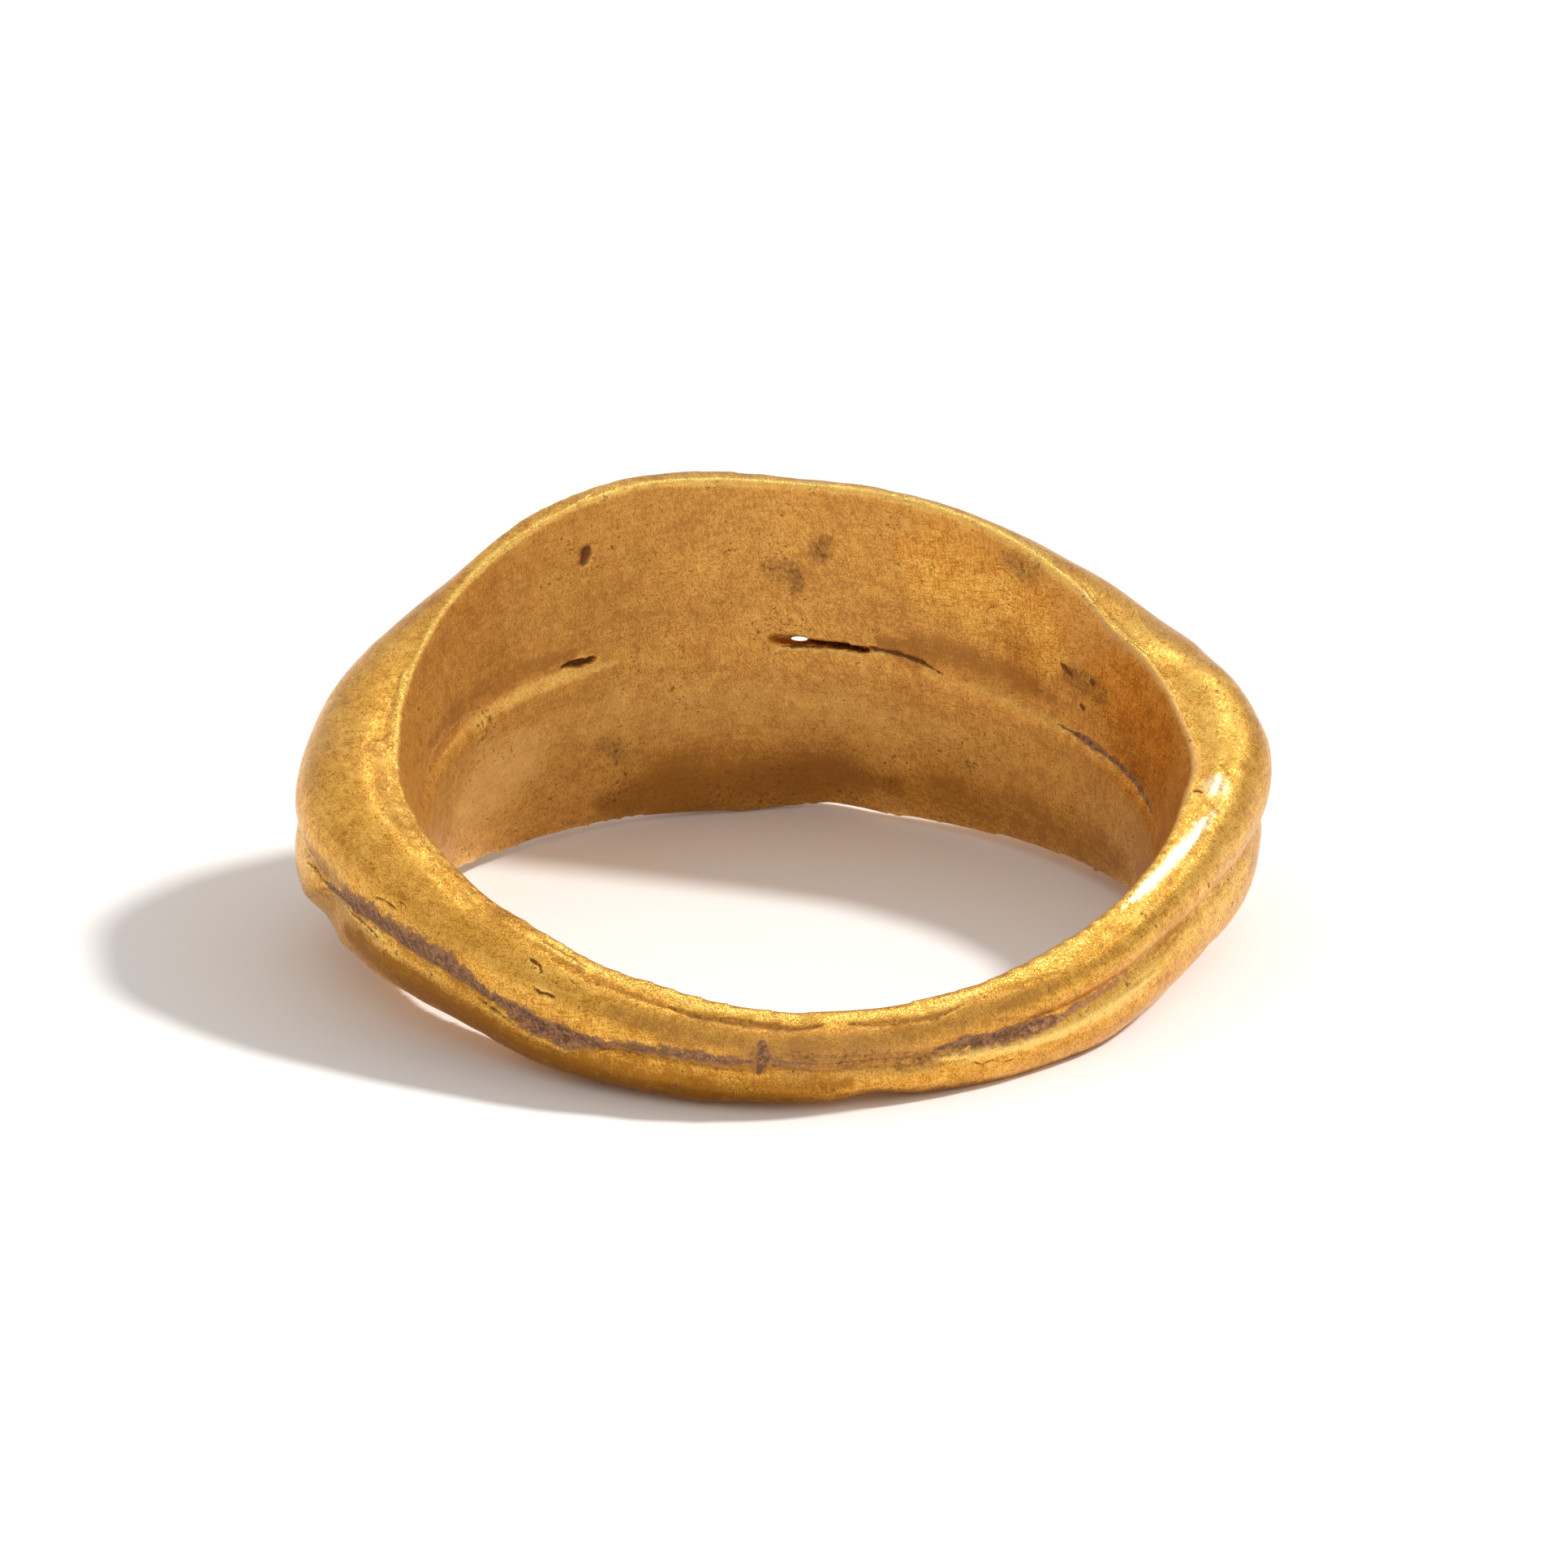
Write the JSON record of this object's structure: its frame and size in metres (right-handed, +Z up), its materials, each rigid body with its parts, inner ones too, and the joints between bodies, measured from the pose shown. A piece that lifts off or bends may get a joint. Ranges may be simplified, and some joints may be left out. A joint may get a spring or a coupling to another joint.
{
  "type": "double finger ring",
  "caption": "Solid gold double finger ring: two hoops soldered side by side, widening from a narrow back to a tall bezel, lying on its side.",
  "frame": {"origin": "on the table under the middle of the ring's outer box, as it lies at rest", "axes": "+Z up, +X across the shoulders, +Y from the narrow back of the hoops to the bezel"},
  "size_m": [0.0208, 0.018, 0.0084],
  "materials": {
    "gold": "high-carat gold, hammered and soldered, satin from wear, with soil in the groove"
  },
  "bodies": {
    "root": {"double_ring": "gold"}
  },
  "joints": []
}
